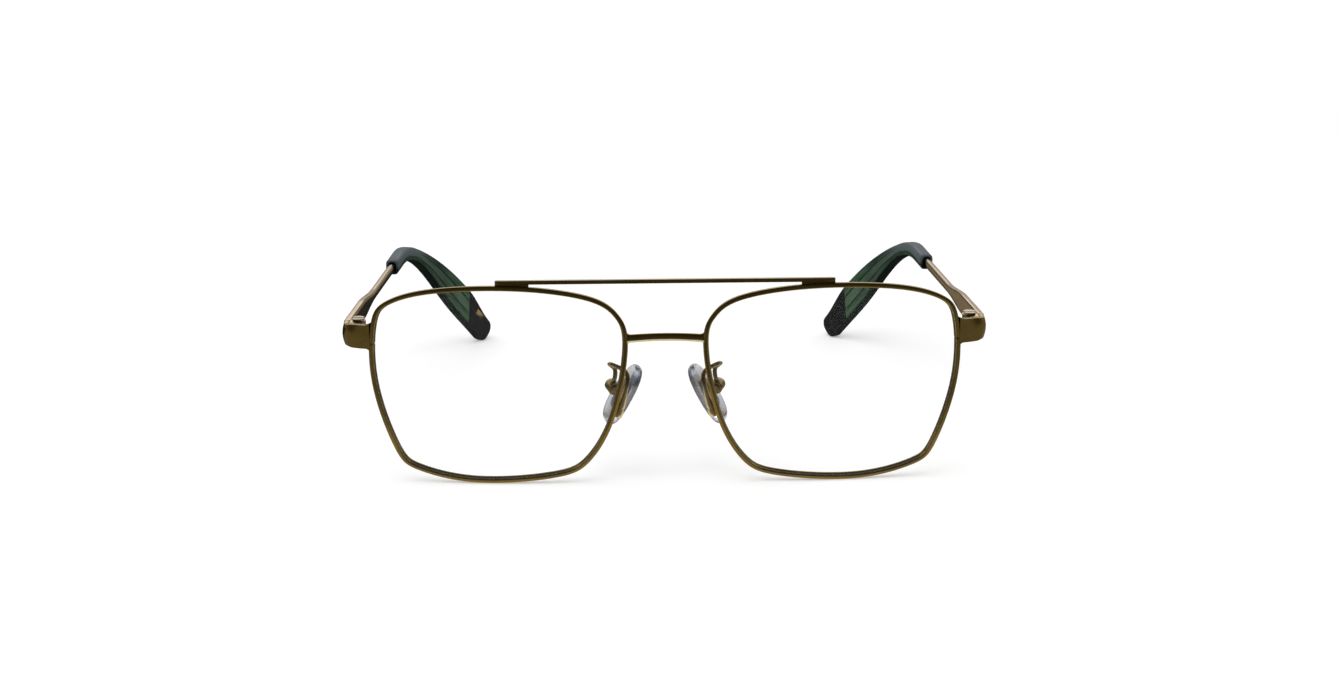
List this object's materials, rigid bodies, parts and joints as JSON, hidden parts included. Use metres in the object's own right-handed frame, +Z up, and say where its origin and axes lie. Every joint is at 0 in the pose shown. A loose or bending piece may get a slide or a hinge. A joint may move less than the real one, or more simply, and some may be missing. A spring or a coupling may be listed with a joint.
{
  "type": "eyeglasses",
  "caption": "Metal eyeglasses with squarish rims, a straight brow bar over the bridge, nose pads on arms and folding temples with dark acetate tips.",
  "frame": {"origin": "under the middle of the glasses as they stand with the temples open, on the surface that the rims and the tips stand on", "axes": "+X across the front to the right-hand end piece as seen from the front, +Y back along the temples, +Z up"},
  "size_m": [0.1444, 0.138, 0.0481],
  "materials": {
    "antique_gold": "polished antique gold plating",
    "pale_gold": "satin pale gold plating",
    "bright_gold": "polished gold",
    "screw_steel": "turned steel",
    "clear_lens": "clear coated lens",
    "green_acetate": "polished dark green acetate",
    "clear_silicone": "clear soft silicone",
    "core_metal": "stamped metal"
  },
  "bodies": {
    "front": {"rim_left": "antique_gold", "rim_right": "antique_gold", "lens_left": "clear_lens", "lens_right": "clear_lens", "bridge": "antique_gold", "brow_bar": "antique_gold", "brow_seat_left": "pale_gold", "brow_seat_right": "pale_gold", "end_piece_left": "antique_gold", "end_piece_right": "antique_gold", "rim_lock_left": "antique_gold", "rim_lock_right": "antique_gold", "rim_screw_left": "screw_steel", "rim_screw_right": "screw_steel", "hinge_front_left": "antique_gold", "hinge_front_right": "antique_gold", "hinge_screw_left": "screw_steel", "hinge_screw_right": "screw_steel", "pad_arm_left": "antique_gold", "pad_arm_right": "antique_gold", "pad_box_left": "antique_gold", "pad_box_right": "antique_gold", "pad_screw_left": "screw_steel", "pad_screw_right": "screw_steel"},
    "left_temple": {"temple_left": "pale_gold", "hinge_rear_left": "pale_gold", "temple_tip_left": "green_acetate", "tip_plaque_left": "bright_gold"},
    "left_nose_pad": {"nose_pad_left": "clear_silicone", "pad_core_left": "core_metal"},
    "right_temple": {"temple_right": "pale_gold", "hinge_rear_right": "pale_gold", "temple_tip_right": "green_acetate"},
    "right_nose_pad": {"nose_pad_right": "clear_silicone", "pad_core_right": "core_metal"}
  },
  "joints": [
    {"name": "left_temple_fold", "type": "hinge", "parent": "front", "child": "left_temple", "pos_m": [-0.06879, -0.05723, 0.03466], "axis": [0, 0.1045, -0.9945], "range_deg": [0, 83]},
    {"name": "right_temple_fold", "type": "hinge", "parent": "front", "child": "right_temple", "pos_m": [0.06879, -0.05723, 0.03466], "axis": [0, -0.1045, 0.9945], "range_deg": [0, 78]},
    {"name": "left_pad_rock", "type": "hinge", "parent": "front", "child": "left_nose_pad", "pos_m": [-0.0119, -0.05711, 0.02076], "axis": [0.337, -0.9212, -0.1946], "range_deg": [-12, 12]},
    {"name": "right_pad_rock", "type": "hinge", "parent": "front", "child": "right_nose_pad", "pos_m": [0.0119, -0.05711, 0.02076], "axis": [0.337, 0.9212, 0.1946], "range_deg": [-12, 12]}
  ]
}
